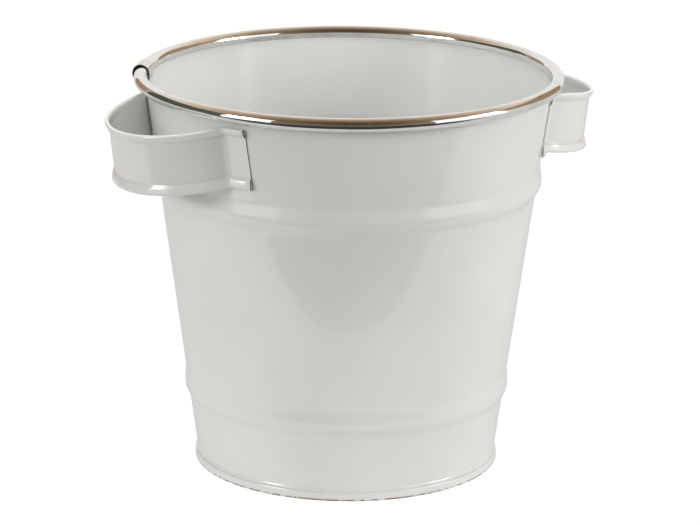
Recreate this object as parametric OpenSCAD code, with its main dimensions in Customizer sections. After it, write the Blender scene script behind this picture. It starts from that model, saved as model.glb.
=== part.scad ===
// Florist bucket: a tapered sheet-metal pail with two rolled ribs, a double-seamed base,
// a wired rim under a bright C-section band, and two fixed strap loop handles.
// Origin: on the bucket's axis, at the plane it stands on. +Z up. The handles lie near the X axis.

/* [Bucket] */
// Height over everything but the rim joint sleeve
bucket_h = 206; // [200:1:240]
// Diameter over the bright rim
rim_d = 220; // [200:1:240]
// Diameter of the wall's straight taper, carried down to the floor plane
foot_line_d = 154; // [140:1:160]
// Thickness of the coated sheet
sheet_t = 0.6; // [0.5:0.05:0.7]

/* [Rim] */
// Diameter of the bright C-section band
band_d = 7; // [6.5:0.1:8]
// Thickness of the band and of its joint sleeve
band_t = 0.6; // [0.4:0.05:0.7]
// Direction of the band's joint, in degrees from the right handle
joint_at = 149; // [60:1:150]
// Length of the sleeve over the joint
sleeve_len = 14; // [8:0.5:20]

/* [Ribs] */
// Height of the upper rib's crest above the floor
upper_rib_z = 149; // [135:1:150]
// How far the upper rib stands out
upper_rib_out = 2.1; // [1:0.1:3]
// Height of the lower rib's crest above the floor
lower_rib_z = 40; // [34:1:60]
// How far the lower rib stands out
lower_rib_out = 1.6; // [1:0.1:3]

/* [Base] */
// Height of the double seam that joins the base to the wall
seam_h = 4.6; // [4.4:0.1:7]
// How far the wall flares just above the seam
flare_out = 0.5; // [0:0.1:1]

/* [Handles] */
// Height of a handle strap
strap_h = 31.2; // [26:0.2:34]
// Gap between a strap's top edge and the underside of the rim
strap_drop = 3; // [2:0.1:6]
// Half the angle that a handle spans on the wall, out to its cut ends
tab_half_angle = 31; // [29:0.5:36]
// Half the angle at which the strap leaves the wall
loop_half_angle = 25; // [22:0.5:27]
// Length of the straight run between the bend off the wall and the round nose
leg_l = 3.2; // [0:0.1:8]
// Slope of the loop's top edge, falling away from the wall
loop_fall = 0.17; // [0:0.01:0.25]
// How far each handle stands round from the X axis, towards -Y, in degrees
handle_forward = 4; // [0:0.5:8]

/* [Hidden] */

WHITE = [0.93, 0.93, 0.91];
GREY = [0.55, 0.55, 0.53];
STEEL = [0.62, 0.62, 0.62];
CHROME = [0.78, 0.77, 0.76];

// Rim: the band, the rolled lip inside it and the wire inside the lip share one centre
ring_r = (rim_d - band_d) / 2;
ring_z = bucket_h - band_d / 2;
band_in_r = band_d / 2 - band_t;
lip_r = band_in_r;
wire_fit = 0.05;
wire_r = lip_r - sheet_t - wire_fit;
lip_end_angle = -122;
band_leg = 1.9;
band_end_angle = 360 - 120;
joint_gap = 1;
joint_gap_angle = joint_gap / ring_r * 180 / PI;
sleeve_angle = sleeve_len / ring_r * 180 / PI;
sleeve_skirt = 4.3;
ring_fn = 180;
tube_fn = 48;
lip_steps = 26;
mouth_steps = 4;

// Wall: one straight taper from the floor plane to the inner side of the lip
foot_line_r = foot_line_d / 2;
lip_in_r = ring_r - lip_r;
neck_drop = 3.5;
neck_z = ring_z - neck_drop;
taper = (lip_in_r + sheet_t - foot_line_r) / neck_z;
function wall_r(z) = foot_line_r + taper * min(z, neck_z);

// Ribs: a long rise from above, a crest and a short step back below
rib_rise = 10.5;
rib_step = 6.5;
rib_steps = 9;
function swing(t) = 0.5 - 0.5 * cos(180 * t);
function rib(z, crest, out) =
    z <= crest - rib_step || z >= crest + rib_rise ? 0
    : z < crest ? out * swing((z - crest + rib_step) / rib_step)
    : out * swing((crest + rib_rise - z) / rib_rise);
function rib_heights(crest) = concat(
    [for (i = [0 : rib_steps - 1]) crest - rib_step * (1 - i / rib_steps)],
    [for (i = [0 : rib_steps]) crest + rib_rise * i / rib_steps]);

// Flare above the seam, then a neck into the seam's own wall layer
flare_top_z = seam_h + 1.9;
flare_z = seam_h + 0.6;
flare_steps = 5;
seam_layers = 5;
seam_stand_out = 2;
seam_r = foot_line_r + seam_stand_out;
function layer_r(n) = seam_r - n * sheet_t;
function flare(z) = z > flare_top_z ? 0 : flare_out * swing((flare_top_z - z) / (flare_top_z - flare_z));
flare_heights = [for (i = [0 : flare_steps]) flare_z + (flare_top_z - flare_z) * i / flare_steps];

// Double seam: hook lengths, and the compound that fills what the hooks leave
compound_h = 0.5;
body_hook_top = seam_h - sheet_t - compound_h;
edge_r = 0.9;
edge_steps = 4;

// Base panel, with one stiffening bead
panel_z = 3.4;
bead_r = 56;
bead_w = 6;
bead_h = 1.2;
bead_steps = 8;

// Handles: the strap stands on the wall with a thin film of coating under its tabs
film = 0.05;
strap_top_z = ring_z - band_d / 2 - strap_drop;
tab_r = wall_r(strap_top_z) + film;
bend_r = 5;
nose_angle = 76;
bend_turn = nose_angle - loop_half_angle;
loop_lean = 0.13;
tab_steps = 4;
bend_steps = 5;
nose_steps = 11;
hem_r = 1.25;
top_hem_h = 4.3;
low_hem_h = 5.4;
hem_gap = 0.15;
hem_steps = 6;

// Outside of the wall, from above the seam to the neck under the lip
wall_heights = concat(flare_heights, rib_heights(lower_rib_z), rib_heights(upper_rib_z), [neck_z]);
function outside(z) =
    wall_r(z) + flare(z) + rib(z, lower_rib_z, lower_rib_out) + rib(z, upper_rib_z, upper_rib_out);

// Points on an arc from angle a to angle b, about a centre
function arc(centre, r, a, b, steps) =
    [for (i = [0 : steps]) centre + r * [cos(a + (b - a) * i / steps), sin(a + (b - a) * i / steps)]];

module ring(angle = 360, start = 0) {
    rotate([0, 0, start]) rotate_extrude(angle = angle, $fn = ring_fn) children();
}

// A round C-section about the rim's centre, open between two angles
module c_section(r, t, from, to) {
    reach = 3 * r;
    translate([ring_r, ring_z])
        difference() {
            circle(r = r, $fn = tube_fn);
            circle(r = r - t, $fn = tube_fn);
            polygon(concat([[0, 0]], arc([0, 0], reach, from, to, mouth_steps)));
        }
}

// Half section of the wall: outside upwards, round the lip, inside downwards, seam hook
module wall_section() {
    centre = [ring_r, ring_z];
    polygon(concat(
        [[layer_r(3), 2 * sheet_t], [layer_r(3), seam_h]],
        [for (z = wall_heights) [outside(z), z]],
        arc(centre, lip_r - sheet_t, 180, lip_end_angle, lip_steps),
        arc(centre, lip_r, lip_end_angle, 180, lip_steps),
        [for (i = [len(wall_heights) - 1 : -1 : 0]) [outside(wall_heights[i]) - sheet_t, wall_heights[i]]],
        [[layer_r(4), seam_h], [layer_r(4), sheet_t], [layer_r(1), sheet_t],
         [layer_r(1), body_hook_top], [layer_r(2), body_hook_top], [layer_r(2), 2 * sheet_t]]));
}

module body_wall() {
    color(WHITE) ring() wall_section();
}

// Height of the stiffening bead above the flat panel
function bead(r) = abs(r - bead_r) >= bead_w / 2 ? 0 : bead_h * swing(1 - abs(r - bead_r) / (bead_w / 2));
bead_radii = [for (i = [0 : bead_steps]) bead_r - bead_w / 2 + bead_w * i / bead_steps];

// Half section of the base: panel, wall of the recess, round under the body's hook, hook
module base_section() {
    inner_edge = layer_r(seam_layers) + edge_r;
    outer_edge = layer_r(0) - edge_r;
    polygon(concat(
        [[0, panel_z]],
        [for (r = bead_radii) [r, panel_z + bead(r)]],
        [[layer_r(seam_layers), panel_z]],
        arc([inner_edge, edge_r], edge_r, 180, 270, edge_steps),
        arc([outer_edge, edge_r], edge_r, 270, 360, edge_steps),
        [[layer_r(0), seam_h], [layer_r(3), seam_h], [layer_r(3), 2 * sheet_t + compound_h],
         [layer_r(2), 2 * sheet_t + compound_h], [layer_r(2), seam_h - sheet_t],
         [layer_r(1), seam_h - sheet_t], [layer_r(1), sheet_t], [layer_r(4), sheet_t],
         [layer_r(4), panel_z + sheet_t]],
        [for (i = [bead_steps : -1 : 0]) [bead_radii[i], panel_z + sheet_t + bead(bead_radii[i])]],
        [[0, panel_z + sheet_t]]));
}

module base_disc() {
    color(WHITE) ring() base_section();
}

// Sealing compound in the two voids that the hooks leave
module seam_sealant() {
    color(GREY) ring() {
        translate([layer_r(3), 2 * sheet_t]) square([sheet_t, compound_h]);
        translate([layer_r(2), body_hook_top]) square([sheet_t, compound_h]);
    }
}

module rim_wire() {
    color(STEEL) ring() translate([ring_r, ring_z]) circle(r = wire_r, $fn = tube_fn);
}

// Bright band: a C round the lip, with a straight leg down the inside of the wall
module chrome_rim() {
    color(CHROME) ring(360 - joint_gap_angle, joint_at + joint_gap_angle / 2) {
        c_section(band_d / 2, band_t, 180, band_end_angle);
        translate([ring_r - band_d / 2, ring_z - band_leg]) square([band_t, band_leg]);
    }
}

// Sleeve over the band's joint: the same C, and a flat skirt down the inside of the wall
module rim_sleeve() {
    color(CHROME) ring(sleeve_angle, joint_at - sleeve_angle / 2) {
        c_section(band_d / 2 + band_t, band_t, 180, band_end_angle);
        translate([ring_r - band_d / 2 - band_t, ring_z - sleeve_skirt]) square([band_t, sleeve_skirt]);
    }
}

// Centre line of the folded sheet of a strap, [out from the wall, up from the top edge]
function hem_lean(h) = asin((hem_r - sheet_t - hem_gap) / (h - hem_r));
function hem_line(h) = concat(
    [[1.5 * sheet_t + hem_gap, -h]],
    arc([hem_r, -hem_r], hem_r - sheet_t / 2, -hem_lean(h), 180, hem_steps));
low_hem = hem_line(low_hem_h);
sheet_line = concat(
    hem_line(top_hem_h),
    [for (i = [len(low_hem) - 1 : -1 : 0]) [low_hem[i][0], -strap_h - low_hem[i][1]]]);

function unit(v) = v / norm(v);
function side(points, i) =
    let (last = len(points) - 1, along = unit(points[min(i + 1, last)] - points[max(i - 1, 0)]))
    [-along[1], along[0]];
sheet_points = len(sheet_line);
strap_outline = concat(
    [for (i = [0 : sheet_points - 1]) sheet_line[i] + sheet_t / 2 * side(sheet_line, i)],
    [for (i = [sheet_points - 1 : -1 : 0]) sheet_line[i] - sheet_t / 2 * side(sheet_line, i)]);

// Plan of a strap, as stations [place, outward normal, lean of the sheet per mm of height].
// Tab on the wall, hollow bend off it, a short leg, then half of the round nose.
// A tab keeps its length as the wall tapers, so its sheet leans round the wall as well.
function radial(a) = [cos(a), sin(a)];
function tangent(a) = [-sin(a), cos(a)];
function tab_lean(a) = taper * (radial(a) - a * PI / 180 * tangent(a));
nose_lean = [loop_lean, 0];
leave = tab_r * radial(loop_half_angle);
bend_centre = (tab_r + bend_r) * radial(loop_half_angle);
bend_end = bend_centre - bend_r * radial(nose_angle);
nose_start = bend_end - leg_l * tangent(nose_angle);
nose_r = nose_start[1] / sin(nose_angle);
nose_centre = nose_start - nose_r * radial(nose_angle);
half_strap = concat(
    [for (i = [0 : tab_steps - 1])
        let (a = tab_half_angle + (loop_half_angle - tab_half_angle) * i / tab_steps)
        [tab_r * radial(a), radial(a), tab_lean(a)]],
    [for (i = [0 : bend_steps - 1])
        let (t = i / bend_steps, a = loop_half_angle + bend_turn * t)
        [bend_centre - bend_r * radial(a), radial(a), tab_lean(loop_half_angle) * (1 - t) + nose_lean * t]],
    [[bend_end, radial(nose_angle), nose_lean]],
    [for (i = [0 : nose_steps])
        let (a = nose_angle * (1 - i / nose_steps))
        [nose_centre + nose_r * radial(a), radial(a), nose_lean]]);
function mirrored(v) = [v[0], -v[1]];
half_stations = len(half_strap);
strap_stations = concat(half_strap,
    [for (i = [half_stations - 2 : -1 : 0]) [for (v = half_strap[i]) mirrored(v)]]);

// One outline point of one station, in space
function strap_point(station, p) =
    let (place = station[0], fall = loop_fall * max(place[0] - leave[0], 0),
         plan = place + p[0] * station[1] + p[1] * station[2])
    [plan[0], plan[1], strap_top_z - fall + p[1]];

// A strap with open teardrop hems along both edges, about the +X axis
module strap() {
    n = len(strap_outline);
    stations = len(strap_stations);
    last = (stations - 1) * n;
    points = [for (s = strap_stations) for (p = strap_outline) strap_point(s, p)];
    sides = [for (s = [0 : stations - 2]) for (i = [0 : n - 1])
        let (a = s * n + i, b = s * n + (i + 1) % n) each [[a, b, a + n], [b, b + n, a + n]]];
    ends = [for (i = [0 : sheet_points - 2])
        let (j = n - 1 - i) each [[i, j, i + 1], [j, j - 1, i + 1],
            [last + i, last + i + 1, last + j], [last + j, last + i + 1, last + j - 1]]];
    polyhedron(points = points, faces = concat(sides, ends), convexity = 6);
}

module handle_right() {
    color(WHITE) rotate([0, 0, -handle_forward]) strap();
}

module handle_left() {
    color(WHITE) rotate([0, 0, 180 + handle_forward]) strap();
}

body_wall();
base_disc();
seam_sealant();
rim_wire();
chrome_rim();
rim_sleeve();
handle_left();
handle_right();
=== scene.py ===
import math

import bmesh
import bpy
import numpy as np
from mathutils import Matrix, Vector


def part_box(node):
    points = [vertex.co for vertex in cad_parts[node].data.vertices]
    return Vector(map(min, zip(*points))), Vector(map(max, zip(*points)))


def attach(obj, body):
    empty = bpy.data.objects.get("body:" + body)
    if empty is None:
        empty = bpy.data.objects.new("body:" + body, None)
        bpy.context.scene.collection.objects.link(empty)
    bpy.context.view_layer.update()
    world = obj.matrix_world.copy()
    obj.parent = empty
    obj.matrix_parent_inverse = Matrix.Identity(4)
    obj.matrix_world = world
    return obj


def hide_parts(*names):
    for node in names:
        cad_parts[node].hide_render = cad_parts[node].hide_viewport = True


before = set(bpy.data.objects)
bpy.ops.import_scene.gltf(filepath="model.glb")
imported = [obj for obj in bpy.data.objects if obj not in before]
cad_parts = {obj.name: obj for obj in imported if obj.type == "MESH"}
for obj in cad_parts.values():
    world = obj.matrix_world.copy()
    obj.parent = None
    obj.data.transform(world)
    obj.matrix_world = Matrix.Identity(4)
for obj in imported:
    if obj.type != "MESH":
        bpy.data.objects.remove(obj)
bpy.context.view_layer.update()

# Lengths below are in millimetres and angles in degrees; meshes are scaled to metres when made.
MM = 0.001


def box_mm(node):
    """Lowest and highest corner of a CAD node, in millimetres."""
    return tuple(np.array(corner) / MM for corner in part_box(node))


def cosd(angle):
    return np.cos(np.radians(angle))


def sind(angle):
    return np.sin(np.radians(angle))


def swing(t):
    """Half a cosine wave, from 0 to 1."""
    return 0.5 - 0.5 * np.cos(np.pi * np.clip(t, 0.0, 1.0))


# ---------------------------------------------------------------- measures
wire_lo, wire_hi = box_mm("rim_wire")
rim_hi = box_mm("chrome_rim")[1]
foot_hi = box_mm("base_disc")[1]
strap_hi = box_mm("handle_right")[1]
sleeve_lo, sleeve_hi = box_mm("rim_sleeve")

SHEET = 0.6
BAND_T = 0.6
RING_Z = (wire_lo[2] + wire_hi[2]) / 2
RING_R = wire_hi[0] - (wire_hi[2] - wire_lo[2]) / 2
BAND_R = rim_hi[2] - RING_Z
LIP_R = BAND_R - BAND_T

SEAM_R = foot_hi[0]
SEAM_H = 4.6
PANEL_Z = 3.4
FOOT_LINE_R = SEAM_R - 2.0
NECK_Z = RING_Z - 3.5
TAPER = (RING_R - LIP_R + SHEET - FOOT_LINE_R) / NECK_Z
COMPOUND_H = 0.5
BODY_HOOK_TOP = SEAM_H - SHEET - COMPOUND_H

RIBS = [(40.0, 1.6), (149.0, 2.1)]
RIB_RISE = 10.5
RIB_STEP = 6.5
FLARE_TOP, FLARE_Z, FLARE_OUT = SEAM_H + 1.9, SEAM_H + 0.6, 0.5

# The rim's joint stands where the sleeve is, and its near end faces the camera
JOINT_AT = math.degrees(math.atan2(sleeve_lo[1] + sleeve_hi[1], sleeve_lo[0] + sleeve_hi[0]))
SLEEVE_LEN = 14.0
SLEEVE_SKIRT = 4.3
JOINT_GAP = 1.0


def wall_r(z):
    return FOOT_LINE_R + TAPER * np.minimum(z, NECK_Z)


def rib(z, crest, out):
    below = out * swing((z - crest + RIB_STEP) / RIB_STEP)
    above = out * swing((crest + RIB_RISE - z) / RIB_RISE)
    return np.where(z < crest, below, above)


def outside(z):
    """Radius of the wall's outer face."""
    flare = FLARE_OUT * swing((FLARE_TOP - z) / (FLARE_TOP - FLARE_Z))
    return wall_r(z) + flare + sum(rib(z, *r) for r in RIBS)


def layer_r(n):
    """Radius of the seam's n-th layer face, counted from outside."""
    return SEAM_R - n * SHEET


# ---------------------------------------------------------------- mesh helpers
# Edges that turn by more than this stay sharp
SHARP_EDGE = 38


def arc(centre, r, a, b, steps):
    t = np.linspace(a, b, steps + 1)
    return np.column_stack([centre[0] + r * cosd(t), centre[1] + r * sind(t)])


def sheet_outline(line, t, cap_steps=4):
    """Closed outline of a sheet of thickness t along a centre line, with rounded cut edges."""
    line = np.asarray(line, float)
    along = np.gradient(line, axis=0)
    along /= np.linalg.norm(along, axis=1)[:, None]
    side = np.column_stack([-along[:, 1], along[:, 0]])
    turn = np.linspace(0, 180, cap_steps + 1)[1:-1]

    def cap(i, sign):
        return [line[i] + t / 2 * (sign * side[i] * cosd(a) + sign * along[i] * sind(a)) for a in turn]

    return np.array([*(line + t / 2 * side), *cap(-1, 1), *(line - t / 2 * side)[::-1], *cap(0, -1)])


def add_mesh(name, points, faces, materials, face_materials=None, **attributes):
    """A mesh object from points in millimetres, smooth but for its sharp edges."""
    mesh = bpy.data.meshes.new(name)
    mesh.from_pydata((np.asarray(points) * MM).tolist(), [], faces)
    for m in materials:
        mesh.materials.append(m)
    if face_materials is not None:
        mesh.polygons.foreach_set("material_index", np.asarray(face_materials, np.int32))
    for key, values in attributes.items():
        layer = mesh.attributes.new(key, "FLOAT", "POINT")
        layer.data.foreach_set("value", np.asarray(values, np.float32))
    bm = bmesh.new()
    bm.from_mesh(mesh)
    bmesh.ops.remove_doubles(bm, verts=bm.verts, dist=1e-7)
    bmesh.ops.recalc_face_normals(bm, faces=bm.faces)
    bm.to_mesh(mesh)
    bm.free()
    mesh.polygons.foreach_set("use_smooth", np.ones(len(mesh.polygons), bool))
    mesh.set_sharp_from_angle(angle=math.radians(SHARP_EDGE))
    obj = bpy.data.objects.new(name, mesh)
    bpy.context.scene.collection.objects.link(obj)
    return obj


def sweep_faces(stations, count, round_trip):
    """Quads that join a closed outline of count points from station to station."""
    i = np.arange(stations if round_trip else stations - 1)[:, None]
    j = np.arange(count)[None, :]
    nxt = (i + 1) % stations
    quads = np.stack([i * count + j, nxt * count + j, nxt * count + (j + 1) % count,
                      i * count + (j + 1) % count], axis=-1)
    return quads.reshape(-1, 4).tolist()


def turned(sections, angles):
    """Points of the half sections [station, point, (r, z)] at the given angles about Z."""
    r, z = sections[..., 0], sections[..., 1]
    a = np.radians(angles)[:, None]
    return np.stack([r * np.cos(a), r * np.sin(a), z], axis=-1).reshape(-1, 3)


def lathe(name, section, materials, segments=432, shift=None, marks=None):
    """A closed half section turned right round; shift(angle, r, z) moves its points outwards."""
    section = np.asarray(section, float)
    angles = np.arange(segments) * 360.0 / segments
    sections = np.repeat(section[None], segments, axis=0)
    if shift is not None:
        sections[..., 0] += shift(angles[:, None], sections[..., 0], sections[..., 1])
    marks = {k: np.tile(v, segments) for k, v in (marks or {}).items()}
    faces = sweep_faces(segments, len(section), True)
    return add_mesh(name, turned(sections, angles), faces, materials, **marks)


def finish_piece(obj, slot, *nodes):
    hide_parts(*nodes)
    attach(obj, "root")


# ---------------------------------------------------------------- materials
class Graph:
    """A material's node tree, with one call for each kind of node."""

    def __init__(self, name, **sockets):
        self.material = bpy.data.materials.new(name)
        self.material.use_nodes = True
        self.tree = self.material.node_tree
        self.tree.nodes.clear()
        self.shader = self.tree.nodes.new("ShaderNodeBsdfPrincipled")
        out = self.tree.nodes.new("ShaderNodeOutputMaterial")
        self.tree.links.new(self.shader.outputs[0], out.inputs[0])
        self.place = self.tree.nodes.new("ShaderNodeTexCoord").outputs["Object"]
        for key, value in sockets.items():
            self.shader.inputs[key.replace("_", " ")].default_value = value

    def feed(self, socket, value):
        if isinstance(value, bpy.types.NodeSocket):
            self.tree.links.new(value, socket)
        else:
            socket.default_value = value

    def set(self, name, value):
        self.feed(self.shader.inputs[name], value)

    def math(self, operation, a, b=0.0, clamp=False):
        n = self.tree.nodes.new("ShaderNodeMath")
        n.operation = operation
        n.use_clamp = clamp
        self.feed(n.inputs[0], a)
        self.feed(n.inputs[1], b)
        return n.outputs[0]

    def stretch(self, scale):
        n = self.tree.nodes.new("ShaderNodeMapping")
        self.tree.links.new(self.place, n.inputs["Vector"])
        n.inputs["Scale"].default_value = scale
        return n.outputs[0]

    def noise(self, scale, detail=2.0, roughness=0.5, where=None, distortion=0.0):
        n = self.tree.nodes.new("ShaderNodeTexNoise")
        self.tree.links.new(where or self.place, n.inputs["Vector"])
        n.inputs["Scale"].default_value = scale
        n.inputs["Detail"].default_value = detail
        n.inputs["Roughness"].default_value = roughness
        n.inputs["Distortion"].default_value = distortion
        return n.outputs["Fac"]

    def voronoi(self, scale):
        n = self.tree.nodes.new("ShaderNodeTexVoronoi")
        self.tree.links.new(self.place, n.inputs["Vector"])
        n.inputs["Scale"].default_value = scale
        return n.outputs["Distance"]

    def span(self, value, low, high, out_low=0.0, out_high=1.0):
        n = self.tree.nodes.new("ShaderNodeMapRange")
        n.interpolation_type = "SMOOTHSTEP"
        self.tree.links.new(value, n.inputs["Value"])
        for key, v in zip(("From Min", "From Max", "To Min", "To Max"), (low, high, out_low, out_high)):
            n.inputs[key].default_value = v
        return n.outputs[0]

    def mix(self, factor, a, b):
        n = self.tree.nodes.new("ShaderNodeMix")
        n.data_type = "RGBA"
        self.feed(n.inputs["Factor"], factor)
        for socket, value in ((n.inputs[6], a), (n.inputs[7], b)):
            self.feed(socket, (*value, 1.0) if isinstance(value, tuple) else value)
        return n.outputs[2]

    def attribute(self, name):
        n = self.tree.nodes.new("ShaderNodeAttribute")
        n.attribute_name = name
        return n.outputs["Fac"]

    def bump(self, height, distance, under=None):
        n = self.tree.nodes.new("ShaderNodeBump")
        n.inputs["Strength"].default_value = 1.0
        n.inputs["Distance"].default_value = distance
        self.tree.links.new(height, n.inputs["Height"])
        if under is not None:
            self.tree.links.new(under, n.inputs["Normal"])
        return n.outputs[0]


def gloss_coat(name, white, worn=(0.30, 0.27, 0.24), chips_from=0.50):
    """Stoved gloss enamel on sheet steel: orange peel, faint clouding, handling marks, worn edges."""
    g = Graph(name, IOR=1.52, Coat_Weight=0.75, Coat_Roughness=0.03, Coat_IOR=1.5)
    dark = tuple(c * 0.955 for c in white)
    clouds = g.noise(14.0, 3.0, 0.55)
    colour = g.mix(g.span(clouds, 0.35, 0.68), white, dark)
    # Dust nibs and pinholes of the stoved coat
    nibs = g.span(g.voronoi(210.0), 0.05, 0.11, 1.0, 0.0)
    sparse = g.span(g.noise(46.0, 1.0), 0.60, 0.68)
    nib = g.math("MULTIPLY", nibs, sparse)
    colour = g.mix(g.math("MULTIPLY", nib, 0.35), colour, (0.52, 0.50, 0.46))
    # Painted shade in seams and folds: darker, duller paint where the grime attribute is set
    grime = g.math("MULTIPLY", g.attribute("grime"), g.span(g.noise(95.0, 3.0, 0.6), 0.25, 0.72), clamp=True)
    colour = g.mix(grime, colour, (0.27, 0.25, 0.215))
    # Wear on the outermost edges
    wear = g.attribute("wear")
    chipped = g.span(g.noise(330.0, 4.0, 0.65), chips_from, chips_from + 0.10)
    bare = g.math("MULTIPLY", g.span(wear, 0.35, 1.0), chipped, clamp=True)
    colour = g.mix(bare, colour, worn)
    g.set("Base Color", colour)
    # Gloss: wiped patches, and fine hairlines from handling
    hairs = g.noise(1.0, 4.0, 0.7, g.stretch((900.0, 900.0, 38.0)), 0.4)
    hair = g.span(hairs, 0.66, 0.74, 0.0, 0.10)
    patches = g.span(g.noise(24.0, 3.0, 0.6), 0.3, 0.75, 0.09, 0.16)
    rough = g.math("ADD", patches, hair)
    rough = g.math("ADD", rough, g.math("MULTIPLY", grime, 0.35))
    rough = g.math("ADD", rough, g.math("MULTIPLY", bare, 0.25), clamp=True)
    g.set("Roughness", rough)
    rolled = g.bump(g.noise(1.0, 2.0, 0.5, g.stretch((16.0, 16.0, 7.0))), 0.00045)
    peel = g.bump(g.noise(380.0, 1.5), 0.000012, under=rolled)
    g.set("Normal", g.bump(g.math("SUBTRACT", nib, bare), 0.00004, under=peel))
    return g.material


def bright_chrome(name, tint, rough_low, rough_high):
    """Bright plating: nearly mirror, with drawing lines, faint haze and wiping marks."""
    g = Graph(name, Metallic=1.0, Specular_Tint=(0.97, 0.96, 0.94, 1.0))
    haze = g.noise(60.0, 4.0, 0.6)
    dull = tuple(c * 0.86 for c in tint)
    # Painted shade: near-black, rougher plating where the grime attribute is set, inside the band and the
    # sleeve
    grime = g.math("MULTIPLY", g.attribute("grime"), g.span(g.noise(180.0, 3.0), 0.3, 0.7), clamp=True)
    colour = g.mix(g.span(haze, 0.45, 0.8), tint, dull)
    g.set("Base Color", g.mix(grime, colour, (0.10, 0.085, 0.07)))
    wiped = g.span(g.noise(420.0, 5.0, 0.7), 0.35, 0.8, rough_low, rough_high)
    g.set("Roughness", g.math("ADD", wiped, g.math("MULTIPLY", grime, 0.4), clamp=True))
    drawn = g.bump(g.noise(1.0, 2.0, 0.5, g.stretch((70.0, 70.0, 420.0))), 0.00005)
    g.set("Normal", g.bump(g.noise(1500.0, 2.0), 0.000002, under=drawn))
    return g.material


def bare_steel(name, colour, rough):
    """Sheared or drawn steel: burr lines, dark oxide and a little dried coating."""
    g = Graph(name, Metallic=0.85)
    spots = g.noise(900.0, 4.0, 0.65)
    g.set("Base Color", g.mix(g.span(spots, 0.35, 0.7), colour, tuple(c * 0.45 for c in colour)))
    g.set("Roughness", g.span(g.noise(1400.0, 3.0), 0.2, 0.8, rough - 0.08, rough + 0.12))
    g.set("Normal", g.bump(g.noise(1.0, 3.0, 0.6, g.stretch((2600.0, 2600.0, 300.0))), 0.00002))
    return g.material


def sealing_compound(name):
    g = Graph(name, IOR=1.45)
    spots = g.span(g.noise(500.0, 4.0), 0.3, 0.7)
    g.set("Base Color", g.mix(spots, (0.30, 0.30, 0.29), (0.22, 0.215, 0.20)))
    g.set("Roughness", g.span(g.noise(900.0, 3.0), 0.2, 0.8, 0.55, 0.8))
    g.set("Normal", g.bump(g.noise(1200.0, 3.0), 0.00005))
    return g.material


WHITE = (0.80, 0.80, 0.784)
wall_coat = gloss_coat("wall_gloss_coat", WHITE)
base_coat = gloss_coat("base_gloss_coat", WHITE, worn=(0.23, 0.13, 0.07), chips_from=0.41)
handle_coat = gloss_coat("handle_gloss_coat", (0.79, 0.785, 0.767))
rim_chrome = bright_chrome("rim_bright_chrome", (0.86, 0.85, 0.84), 0.035, 0.085)
sleeve_chrome = bright_chrome("sleeve_bright_chrome", (0.80, 0.775, 0.74), 0.07, 0.15)
# Sheared edges: bare oxide steel, made very dark also as painted shade of the gaps at the handles' bare cut
# end and the sleeve's ends
cut_steel_and_gap_shade = bare_steel("sheared_edge_steel_and_gap_shade", (0.16, 0.155, 0.15), 0.45)
wire_steel = bare_steel("drawn_wire_steel", (0.42, 0.42, 0.42), 0.38)

# ---------------------------------------------------------------- wall
LIP_END = -122
# Where the rolling marks begin, from the foot and from the rim, and over how much height they grow
CALM_FOOT, FOOT_RUN = 14, 30
CALM_RIM, RIM_RUN = 196, 26
# They fade out over the handles' side of the wall, above TABS_Z
TABS_Z, TABS_RUN = 128, 20
TABS_SIDE, SIDE_RUN = 0.76, 0.16
# Each mark: its depth, waves round the wall, twist in degrees for each mm of height, and start
MARKS = ((0.07, 3, 0, 40), (0.045, 7, 0.5, 0), (0.03, 13, -0.8, 70), (0.02, 23, 1.7, 0))


def wall_heights():
    zs = [np.linspace(FLARE_Z, FLARE_TOP, 16)]
    for crest, _ in RIBS:
        zs.append(np.linspace(crest - RIB_STEP, crest + RIB_RISE, 42))
    zs.append(np.linspace(FLARE_TOP, NECK_Z, 44))
    return np.unique(np.round(np.concatenate(zs), 3))


def ripple(angle, r, z):
    """Rolling marks and slight flats of the sheet, none near the rim, the foot and the handles."""
    ends = swing((z - CALM_FOOT) / FOOT_RUN) * swing((CALM_RIM - z) / RIM_RUN)
    tabs = 1 - swing((TABS_SIDE - np.abs(sind(angle))) / SIDE_RUN) * swing((z - TABS_Z) / TABS_RUN)
    waves = sum(depth * sind(count * angle + twist * z + start) for depth, count, twist, start in MARKS)
    return ends * tabs * waves


zs = wall_heights()
face = np.column_stack([outside(zs), zs])
inner = face[::-1] - [SHEET, 0]
ring_centre = (RING_R, RING_Z)
wall_section = np.vstack([
    [[layer_r(3), 2 * SHEET], [layer_r(3), SEAM_H], [outside(FLARE_Z) - 0.02, SEAM_H + 0.02]],
    face,
    arc(ring_centre, LIP_R - SHEET, 180, LIP_END, 40)[1:],
    arc(ring_centre, LIP_R, LIP_END, 180, 40)[:-1],
    inner,
    [[layer_r(4), SEAM_H], [layer_r(4), SHEET], [layer_r(1), SHEET], [layer_r(1), BODY_HOOK_TOP],
     [layer_r(2), BODY_HOOK_TOP], [layer_r(2), 2 * SHEET]]])
section_z = wall_section[:, 1]
# Painted shade where the wall goes down into the seam at the foot
wall_grime = np.where(section_z < SEAM_H + 0.5, 0.1, 0.0)
wall = lathe("wall_shell", wall_section, [wall_coat], shift=ripple,
             marks={"grime": wall_grime, "wear": np.zeros(len(wall_section))})
finish_piece(wall, "wall_coat", "body_wall")

# ---------------------------------------------------------------- base and double seam
BEAD_R, BEAD_W, BEAD_H = 56.0, 6.0, 1.2
DISH_R, DISH_DEPTH = 50, 0.35
PANEL_STATIONS, PANEL_EDGE_R = [0.0, 15.0, 30.0, 45.0], 66.0
SEAM_FACE_Z = 1.4
PANEL_CORNER_R, FOOT_EDGE_R = 0.7, 0.9
SEAM_ROUND = 0.75
WORN_Z, WORN_RUN, FOOT_WEAR = 1.3, 0.7, 1.5


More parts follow.
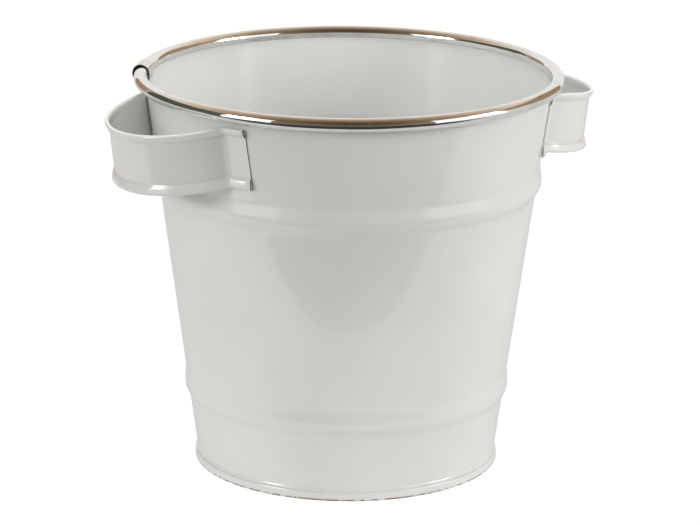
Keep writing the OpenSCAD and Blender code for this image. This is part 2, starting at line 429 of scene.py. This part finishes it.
def panel(z):
    """One face of the panel, from the middle outwards: a shallow dish with a round bead."""
    over_bead = np.linspace(BEAD_R - BEAD_W / 2, BEAD_R + BEAD_W / 2, 25)
    r = np.concatenate([PANEL_STATIONS, over_bead, [PANEL_EDGE_R]])
    bead = BEAD_H * swing(1 - np.abs(r - BEAD_R) / (BEAD_W / 2))
    dish = DISH_DEPTH * swing(1 - r / DISH_R)
    return np.column_stack([r, z + bead - dish])


def seam_face():
    """The seam's outer face, upright low down and rounding in towards its top."""
    t = np.linspace(0, 1, 12)
    return np.column_stack([SEAM_R - SEAM_ROUND * t ** 2.2,
                            SEAM_FACE_Z + (SEAM_H - SEAM_FACE_Z) * np.sin(t * np.pi / 2)])


base_section = np.vstack([
    panel(PANEL_Z),
    arc((layer_r(5) - PANEL_CORNER_R, PANEL_Z - PANEL_CORNER_R), PANEL_CORNER_R, 90, 0, 6),
    arc((layer_r(5) + FOOT_EDGE_R, FOOT_EDGE_R), FOOT_EDGE_R, 180, 270, 10),
    arc((SEAM_R - FOOT_EDGE_R, FOOT_EDGE_R), FOOT_EDGE_R, 270, 360, 10),
    seam_face(),
    [[layer_r(3) + 0.35, SEAM_H - 0.08], [layer_r(3), SEAM_H - 0.2],
     [layer_r(3), 2 * SHEET + COMPOUND_H], [layer_r(2), 2 * SHEET + COMPOUND_H],
     [layer_r(2), SEAM_H - SHEET], [layer_r(1), SEAM_H - SHEET], [layer_r(1), SHEET], [layer_r(4), SHEET],
     [layer_r(4), PANEL_Z + SHEET]],
    panel(PANEL_Z + SHEET)[::-1]])
base_r, base_z = base_section.T
# Painted shade along the seam's top edge, where it meets the wall
base_grime = 0.1 * (base_z > SEAM_H - 0.3) * (base_r > SEAM_R - 2.5)
base_wear = FOOT_WEAR * swing((WORN_Z - base_z) / WORN_RUN)
base = lathe("base_and_seam", base_section, [base_coat], segments=360,
             marks={"grime": base_grime, "wear": base_wear})
finish_piece(base, "base_coat", "base_disc")

# ---------------------------------------------------------------- bright rim
BAND_LEG, BAND_END = 1.9, -120


def band_stations():
    half_gap = math.degrees(JOINT_GAP / RING_R) / 2
    return np.linspace(JOINT_AT + half_gap, JOINT_AT + 360 - half_gap, 541)


angles = band_stations()
band_curve = arc((0, 0), BAND_R - BAND_T / 2, 180, BAND_END, 70)
band_line = np.vstack([np.linspace(band_curve[0] - [0, BAND_LEG], band_curve[0], 8)[:-1], band_curve])
outline = sheet_outline(band_line, BAND_T)
roll = 0.8 * sind(5 * angles + 20) + 0.5 * sind(11 * angles + 130) + 0.35 * sind(31 * angles)
lift = 0.035 * sind(4 * angles + 60) + 0.02 * sind(17 * angles)
cr, sr = cosd(roll)[:, None], sind(roll)[:, None]
section = np.stack([RING_R + outline[None, :, 0] * cr - outline[None, :, 1] * sr,
                    RING_Z + outline[None, :, 0] * sr + outline[None, :, 1] * cr + lift[:, None]], axis=-1)
faces = sweep_faces(len(angles), len(outline), False)
last = (len(angles) - 1) * len(outline)
faces += [list(range(len(outline))), [last + k for k in range(len(outline))][::-1]]
# Painted shade on the band's inside, where it wraps the lip, and down its leg's face against the wall
on_leg = (outline[:, 1] < 0) & (outline[:, 0] < -0.6 * BAND_R)
reach = np.where(on_leg, -outline[:, 0], np.hypot(*outline.T))
band_grime = np.where(reach < BAND_R - 0.25, 0.8, 0.0)
band = add_mesh("rim_band", turned(section, angles), faces, [rim_chrome],
                grime=np.tile(band_grime, len(angles)))
finish_piece(band, "rim_chrome", "chrome_rim")

# ---------------------------------------------------------------- sleeve over the rim's joint
SLEEVE_FLARE = 0.5
# Over how many degrees each end of the sleeve lifts off the band
NEAR_RUN, FAR_RUN = 1.9, 1.2
half = math.degrees(SLEEVE_LEN / RING_R) / 2
angles = np.linspace(JOINT_AT - half, JOINT_AT + half, 49)
rows = []
for a in angles:
    near = swing(1 - (angles[-1] - a) / NEAR_RUN)
    far = swing(1 - (a - angles[0]) / FAR_RUN)
    wave = 0.06 * sind(40 * (a - angles[0]))
    clip = arc((0, 0), 1.0, BAND_END + 5, 176, 60)
    outer_side = swing((clip[:, 0] + 0.6) / 1.2)
    gap = 0.06 + wave * 0.5 + near * SLEEVE_FLARE * (0.06 + 0.94 * outer_side) + far * 0.12
    clip = clip * (BAND_R + BAND_T / 2 + gap)[:, None]
    fold = clip[-1]
    skirt_z = np.linspace(fold[1] - 0.35, -SLEEVE_SKIRT, 10)
    skirt = np.column_stack([np.full(len(skirt_z), fold[0] - 0.05), skirt_z])
    skirt[:, 0] += 0.35 * swing((-skirt[:, 1] - 3.0) / 1.5) - near * 0.12
    line = np.vstack([clip, skirt])
    rows.append(sheet_outline(line, BAND_T) + ring_centre)
section = np.array(rows)
count = section.shape[1]
faces = sweep_faces(len(angles), count, False)
last = (len(angles) - 1) * count
caps = [list(range(count)), [last + k for k in range(count)][::-1]]
# Painted shadow on the sleeve's inside, in the gap over the band; its cut ends take the dark steel that also
# stands for that gap's shade
inward = np.hypot(*(section - ring_centre).reshape(-1, 2).T) < BAND_R + BAND_T / 2
sleeve = add_mesh("rim_joint_sleeve", turned(section, angles), faces + caps, [sleeve_chrome, cut_steel_and_gap_shade],
                  [0] * len(faces) + [1, 1], grime=np.where(inward, 1.0, 0.0))
finish_piece(sleeve, "sleeve_chrome", "rim_sleeve")

# ---------------------------------------------------------------- handles
STRAP_TOP = strap_hi[2]
STRAP_H = 31.2
TAB_HALF, LOOP_HALF, NOSE_ANGLE = 31.0, 25.0, 76.0
BEND_R, LEG_L = 5.0, 3.2
LOOP_FALL, LOOP_LEAN = 0.17, 0.13
HANDLE_FORWARD = 4.0
FILM = 0.05
HEM_R, TOP_HEM_H, LOW_HEM_H, HEM_GAP = 1.25, 4.3, 5.4, 0.15
# A hem's bead stands open by up to OPEN_HEM at the bare cut end and is pressed in by a share of its
# depth at the other, both over END_RUN degrees
OPEN_HEM, PRESSED_HEM, END_RUN = 0.5, 0.45, 1.6
# Past HEM_FACE a hem's folded edge thins towards its tip, and the sheet between the hems with it
HEM_FACE, TIP_SHARE, TIP_RUN = SHEET / 2 + 0.02, 0.12, 1.1
STEP_IN, STEP_RUN = 0.4, 1.4
BEAD_OUT, BEAD_END = 0.7, 0.6
WAVE_RUN, LOOSE_RUN = 3.5, 6.0
EDGE_WEAR, EDGE_W = 0.5, 0.45
PLUG_SHARE = 0.97

TAB_R = wall_r(STRAP_TOP) + FILM


def hem_line(h):
    """Centre line of a teardrop hem, from its tip to the sheet's plane: [out, up]."""
    lean = math.degrees(math.asin((HEM_R - SHEET - HEM_GAP) / (h - HEM_R)))
    tip = np.array([[1.5 * SHEET + HEM_GAP, -h]])
    curl = arc((HEM_R, -HEM_R), HEM_R - SHEET / 2, -lean, 180, 22)
    rise = np.linspace(tip[0], curl[0], 6)[:-1]
    return np.vstack([rise, curl])


def folded_sheet():
    """Centre line of the strap's sheet with a teardrop hem along each edge."""
    top, low = hem_line(TOP_HEM_H), hem_line(LOW_HEM_H)[::-1] * [1, -1] - [0, STRAP_H]
    return np.vstack([top, np.linspace(top[-1], low[0], 29)[1:-1], low])


def radial(a):
    return np.array([cosd(a), sind(a)])


def tangent(a):
    return np.array([-sind(a), cosd(a)])


def tab_lean(a):
    return TAPER * (radial(a) - math.radians(a) * tangent(a))


def stations():
    """Plan of half a strap: place, outward normal and lean of the sheet for each mm of height."""
    nose_lean = np.array([LOOP_LEAN, 0])
    bend_centre = (TAB_R + BEND_R) * radial(LOOP_HALF)
    tab_angles, nose_angles = np.linspace(TAB_HALF, LOOP_HALF, 19)[:-1], np.linspace(NOSE_ANGLE, 0, 60)
    rows = [(TAB_R * radial(a), radial(a), tab_lean(a)) for a in tab_angles]
    for t in np.linspace(0, 1, 25)[:-1]:
        a = LOOP_HALF + (NOSE_ANGLE - LOOP_HALF) * t
        lean = tab_lean(LOOP_HALF) * (1 - t) + nose_lean * t
        rows.append((bend_centre - BEND_R * radial(a), radial(a), lean))
    bend_end = bend_centre - BEND_R * radial(NOSE_ANGLE)
    nose_start = bend_end - LEG_L * tangent(NOSE_ANGLE)
    rows.append((bend_end, radial(NOSE_ANGLE), nose_lean))
    nose_r = nose_start[1] / sind(NOSE_ANGLE)
    nose_centre = nose_start - nose_r * radial(NOSE_ANGLE)
    rows += [(nose_centre + nose_r * radial(a), radial(a), nose_lean) for a in nose_angles]
    return rows


hem_points = len(hem_line(TOP_HEM_H))


def strap_points():
    """Points of one strap, station by station from tab to tab, with the wear and painted shade of each."""
    half_rows = stations()
    flip = np.array([1, -1])
    rows = half_rows + [tuple(v * flip for v in row) for row in half_rows[-2::-1]]
    place, normal, lean = (np.array([row[k] for row in rows]) for k in range(3))
    outline = sheet_outline(folded_sheet(), SHEET)
    out, up = outline[:, 0], outline[:, 1]
    depth = np.minimum(-up, STRAP_H + up)
    top_side = up > -STRAP_H / 2
    hem_h = np.where(top_side, TOP_HEM_H, LOW_HEM_H)
    off_wall = place[:, 0] - TAB_R * cosd(LOOP_HALF)
    loose = swing(off_wall / LOOSE_RUN)
    # Slight unevenness of hand-closed hems
    run = np.linspace(0, 1, len(rows))
    wave = 0.05 * np.sin(2 * np.pi * 5 * run + 0.6) + 0.03 * np.sin(2 * np.pi * 13 * run)
    out = out[None, :] + (loose * wave)[:, None] * swing((WAVE_RUN - depth) / WAVE_RUN)[None, :]
    # One cut end's hems stand a little open, the other's are pressed
    off_axis = np.degrees(np.arctan2(np.abs(place[:, 1]), place[:, 0]))
    cut = swing(1 - np.abs(off_axis - TAB_HALF) / END_RUN)[:, None]
    first_end = (np.arange(len(rows)) < len(rows) / 2)[:, None]
    bead = (outline[:, 0] > BEAD_OUT) & (depth < hem_h - BEAD_END)
    opened = OPEN_HEM * (bead * np.clip(outline[:, 0] - BEAD_OUT, 0, 1))[None, :]
    pressed = -PRESSED_HEM * np.clip(outline[:, 0] - SHEET / 2, 0, None)[None, :]
    out = out + cut * np.where(first_end, opened, pressed)
    # The folded edge is thin at its tip under the coating, and the whole hem steps in a little
    to_tip = TIP_SHARE + (1 - TIP_SHARE) * swing((hem_h - depth) / TIP_RUN)
    share = np.where(outline[:, 0] > HEM_FACE, to_tip, 1.0)[None, :]
    out = HEM_FACE + (out - HEM_FACE) * (1 - (1 - share) * (1 - cut))
    out = out - STEP_IN * loose[:, None] * swing((hem_h - depth) / STEP_RUN)[None, :]
    plan = place[:, None, :] + out[..., None] * normal[:, None, :] + up[None, :, None] * lean[:, None, :]
    fall = LOOP_FALL * np.maximum(off_wall, 0)
    z = STRAP_TOP - fall[:, None] + up[None, :]
    points = np.concatenate([plan, z[..., None]], axis=-1)
    edge = np.tile(np.exp(-(depth / EDGE_W) ** 2) * EDGE_WEAR, len(rows))
    # Painted shade in the crevice at each hem's tip, on the loop off the wall
    crevice = (np.abs(depth - hem_h) < 0.35) & (outline[:, 0] > 0.55)
    fold = (0.1 * loose[:, None] * crevice[None, :]).ravel()
    return points, edge, fold


def hem_plug(points, low):
    """Outlines of the closed plug of coating just inside a hem's end, one at each given station."""
    first = points.shape[1] // 2 - 3 - hem_points if low else 2
    inside = points[:, first:first + hem_points - 2]
    centre = inside.mean(axis=1, keepdims=True)
    return centre + (inside - centre) * PLUG_SHARE


def add_handle(name, turn, node):
    points, wear, grime = strap_points()
    station_count, count = points.shape[:2]
    faces = sweep_faces(station_count, count, False)
    last = (station_count - 1) * count
    caps = [list(range(count)), [last + k for k in range(count)][::-1]]
    rows, extra = [points.reshape(-1, 3)], []
    base = station_count * count
    for low in (False, True):
        for first, second in ((1, 3), (station_count - 2, station_count - 4)):
            plug = hem_plug(points[[first, second]], low)
            n = plug.shape[1]
            extra += [[base + j for j in range(n)], [base + n + j for j in range(n)][::-1]]
            extra += [[base + j, base + (j + 1) % n, base + n + (j + 1) % n, base + n + j] for j in range(n)]
            rows.append(plug.reshape(-1, 3))
            base += 2 * n
    flat = np.vstack(rows) @ np.array(Matrix.Rotation(math.radians(turn), 3, "Z")).T
    spare = np.zeros(len(flat) - len(wear))
    # The first cut end is bare steel, dark also as painted shade of its gap at the wall, and the second is
    # coated over
    face_materials = [0] * len(faces + extra) + [1, 0]
    obj = add_mesh(name, flat, faces + extra + caps, [handle_coat, cut_steel_and_gap_shade], face_materials,
                   wear=np.append(wear, spare), grime=np.append(grime, spare))
    finish_piece(obj, "handle_coat", node)


add_handle("loop_handle_right", -HANDLE_FORWARD, "handle_right")
add_handle("loop_handle_left", 180 + HANDLE_FORWARD, "handle_left")

# ---------------------------------------------------------------- carried-over CAD nodes
seam_compound = sealing_compound("seam_sealing_compound")
for node, material, slot_name in (("rim_wire", wire_steel, "wire_steel"),
                                  ("seam_sealant", seam_compound, "seam_compound")):
    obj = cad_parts[node]
    obj.data.materials.clear()
    obj.data.materials.append(material)

# ---------------------------------------------------------------- camera
CAMERA_AZIMUTH = -115.8
CAMERA_ELEVATION = 15.88
CAMERA_ROLL = 0.514
CAMERA_DISTANCE = 1.9078
CAMERA_LENS = 189.07
AIM_HEIGHT = 0.100
AIM_RIGHT, AIM_UP = 0.00137, 0.0033

toward_camera = Vector((cosd(CAMERA_ELEVATION) * cosd(CAMERA_AZIMUTH),
                        cosd(CAMERA_ELEVATION) * sind(CAMERA_AZIMUTH), sind(CAMERA_ELEVATION)))
level_right = Vector((-sind(CAMERA_AZIMUTH), cosd(CAMERA_AZIMUTH), 0))
level_up = toward_camera.cross(level_right)
roll_c, roll_s = float(cosd(CAMERA_ROLL)), float(sind(CAMERA_ROLL))
right = level_right * roll_c + level_up * roll_s
up = level_up * roll_c - level_right * roll_s
eye = Vector((0, 0, AIM_HEIGHT)) + toward_camera * CAMERA_DISTANCE
aim = Vector((0, 0, AIM_HEIGHT)) + right * AIM_RIGHT + up * AIM_UP
back = (eye - aim).normalized()
right = up.cross(back).normalized()
up = back.cross(right)
camera = bpy.data.objects.new("camera", bpy.data.cameras.new("camera"))
camera.data.lens = CAMERA_LENS
camera.data.sensor_width = 36.0
camera.data.clip_end = 50.0
camera.matrix_world = Matrix.Translation(eye) @ Matrix((right, up, back)).transposed().to_4x4()
bpy.context.scene.collection.objects.link(camera)
bpy.context.scene.camera = camera

# ---------------------------------------------------------------- studio
# Azimuths here are counted from the camera's direction, to its right.
FLOOR_FRONT, FLOOR_SIDE, FLOOR_BACK = 0.235, 1.3, 1.6
APRON_END = 1.25
PAPER_Z = -0.0002
CARD_DISTANCE, WINDOW_DISTANCE = 1.27, 1.18
LIGHTS_AIM = 0.12
# The gloss room's colours run along this direction, which points away from the camera and down
ROOM_FORWARD, ROOM_UP = -0.83, -0.555
AMBIENT = (0.405, 0.40, 0.385)
ROOM_COLOURS = ((0.0, (0.08, 0.055, 0.035)), (0.12, (0.23, 0.17, 0.115)), (0.22, (0.34, 0.25, 0.17)),
                (0.38, (0.58, 0.43, 0.31)), (0.56, (0.76, 0.68, 0.55)), (0.72, (0.90, 0.90, 0.88)))
level_front = Vector((toward_camera.x, toward_camera.y, 0)).normalized()


def studio_point(azimuth, distance, height):
    d = level_front * float(cosd(azimuth)) + level_right * float(sind(azimuth))
    return d * distance + Vector((0, 0, height))


def add_floor(name, albedo, glow, kind, near=FLOOR_FRONT, far=-FLOOR_BACK):
    """A sheet of paper under the bucket, met by one kind of ray only."""
    corners = [level_front * f + level_right * s for f, s in
               ((near, -FLOOR_SIDE), (near, FLOOR_SIDE), (far, FLOOR_SIDE), (far, -FLOOR_SIDE))]
    mesh = bpy.data.meshes.new(name)
    mesh.from_pydata([(c.x, c.y, PAPER_Z) for c in corners], [], [(0, 1, 2, 3)])
    g = Graph(name + "_paper", Roughness=0.9, Emission_Color=(1, 1, 1, 1), Emission_Strength=glow)
    g.set("Base Color", g.mix(g.noise(6.0), (albedo,) * 3, (albedo + 0.02,) * 3))
    mesh.materials.append(g.material)
    obj = bpy.data.objects.new(name, mesh)
    obj.visible_camera = kind == "camera"
    obj.visible_glossy = kind == "glossy"
    obj.visible_diffuse = kind == "diffuse"
    bpy.context.scene.collection.objects.link(obj)


def add_light(name, azimuth, distance, height, width, tall, watts, colour=(1.0, 1.0, 1.0)):
    """A soft light aimed at the bucket, which only the matt side of things meets."""
    data = bpy.data.lights.new(name, "AREA")
    data.shape = "RECTANGLE"
    data.size = width
    data.size_y = tall
    data.energy = watts
    data.color = colour
    obj = bpy.data.objects.new(name, data)
    where = studio_point(azimuth, distance, height)
    obj.location = where
    obj.rotation_euler = (Vector((0, 0, LIGHTS_AIM)) - where).to_track_quat("-Z", "Y").to_euler()
    obj.visible_camera = obj.visible_glossy = False
    bpy.context.scene.collection.objects.link(obj)


def add_card(name, left, right, feet, tops, glow, colour=(1.0, 1.0, 1.0), away=CARD_DISTANCE):
    """A screen between two azimuths, met by glossy rays only, with its heights left and right."""
    corners = [studio_point(azimuth, away, height) for azimuth, height in
               ((left, feet[0]), (right, feet[1]), (right, tops[1]), (left, tops[0]))]
    mesh = bpy.data.meshes.new(name)
    mesh.from_pydata([tuple(c) for c in corners], [], [(0, 1, 2, 3)])
    g = Graph(name + "_screen", Roughness=0.9, Emission_Color=(*colour, 1.0), Emission_Strength=glow)
    g.set("Base Color", g.mix(g.noise(5.0), (0.02, 0.025, 0.02), (0.03, 0.035, 0.03)))
    mesh.materials.append(g.material)
    obj = bpy.data.objects.new(name, mesh)
    obj.visible_camera = obj.visible_diffuse = obj.visible_shadow = False
    bpy.context.scene.collection.objects.link(obj)


def add_room():
    """White to the camera, even grey light for the matt side of things, and for gloss a room that
    is pale behind, tan and brown above and dark in front."""
    world = bpy.data.worlds.new("room")
    bpy.context.scene.world = world
    world.use_nodes = True
    tree = world.node_tree
    tree.nodes.clear()
    new, link = tree.nodes.new, tree.links.new
    above, axes = new("ShaderNodeVectorMath"), new("ShaderNodeTexCoord")
    dot, share, ramp = new("ShaderNodeVectorMath"), new("ShaderNodeMapRange"), new("ShaderNodeValToRGB")
    above.operation, dot.operation = "MAXIMUM", "DOT_PRODUCT"
    link(axes.outputs["Generated"], above.inputs[0])
    above.inputs[1].default_value = (-1, -1, 0)
    link(above.outputs[0], dot.inputs[0])
    dot.inputs[1].default_value = level_front * ROOM_FORWARD + Vector((0, 0, ROOM_UP))
    link(dot.outputs["Value"], share.inputs["Value"])
    share.inputs["From Min"].default_value = -1.0
    link(share.outputs[0], ramp.inputs[0])
    elements = ramp.color_ramp.elements
    while len(elements) < len(ROOM_COLOURS):
        elements.new(0.5)
    for e, (at, colour) in zip(elements, ROOM_COLOURS):
        e.position, e.color = at, (*colour, 1.0)

    def background(colour):
        n = new("ShaderNodeBackground")
        if isinstance(colour, bpy.types.NodeSocket):
            link(colour, n.inputs["Color"])
        else:
            n.inputs["Color"].default_value = (*colour, 1.0)
        return n.outputs[0]

    path = new("ShaderNodeLightPath")
    shown = background(AMBIENT)
    for kind, colour in (("Is Glossy Ray", ramp.outputs[0]), ("Is Camera Ray", (1.0, 1.0, 1.0))):
        mix = new("ShaderNodeMixShader")
        link(path.outputs[kind], mix.inputs[0])
        link(shown, mix.inputs[1])
        link(background(colour), mix.inputs[2])
        shown = mix.outputs[0]
    link(shown, new("ShaderNodeOutputWorld").inputs["Surface"])


add_floor("floor", 0.86, 0.45, "camera")
add_floor("floor_bounce", 0.60, 0.47, "diffuse")
add_floor("floor_gloss", 0.58, 0.24, "glossy")
add_floor("floor_apron", 0.015, 0.0, "glossy", APRON_END, FLOOR_FRONT)
# Cards: azimuths left and right, heights of the feet and of the tops, glow and colour
add_card("card_left", -67, -39, (0, 0), (0.86, 0.86), 1.15)
add_card("card_right", 44, 88, (0, 0), (0.86, 0.86), 1.15)
add_card("dark_left", -128, -68, (0, 0), (0.8, 0.8), 0.05, (0.9, 1.0, 0.7))
add_card("window_left", -65, -48, (0.265, 0.265), (0.72, 0.72), 6.0, away=WINDOW_DISTANCE)
add_card("window_right", 65, 85, (0.31, 0.31), (0.74, 0.74), 6.0, away=WINDOW_DISTANCE)
add_card("brown_left", -152, -129, (0, 0), (0.45, 0.8), 0.33, (1.0, 0.66, 0.42))
add_card("brown_right", 89, 146, (0.46, 0), (0.9, 0.9), 0.33, (1.0, 0.62, 0.34))
add_card("pale_right", 89, 140, (0, 0), (0.44, 0.02), 0.66, (0.94, 1.0, 0.98))
# Lights: azimuth, distance, height, width, tallness, watts and colour
add_light("softbox_left", -56, 1.2, 0.54, 0.44, 0.48, 4.1)
add_light("softbox_right", 75, 1.2, 0.54, 0.48, 0.48, 6.4)
add_light("fill_front", 5, 1.5, 1.5, 1.2, 0.8, 3.5)
add_light("fill_top", 180, 0.2, 1.7, 1.2, 1.2, 17.0, (0.97, 0.98, 1.0))
add_room()
bpy.context.scene.view_settings.view_transform = "Standard"
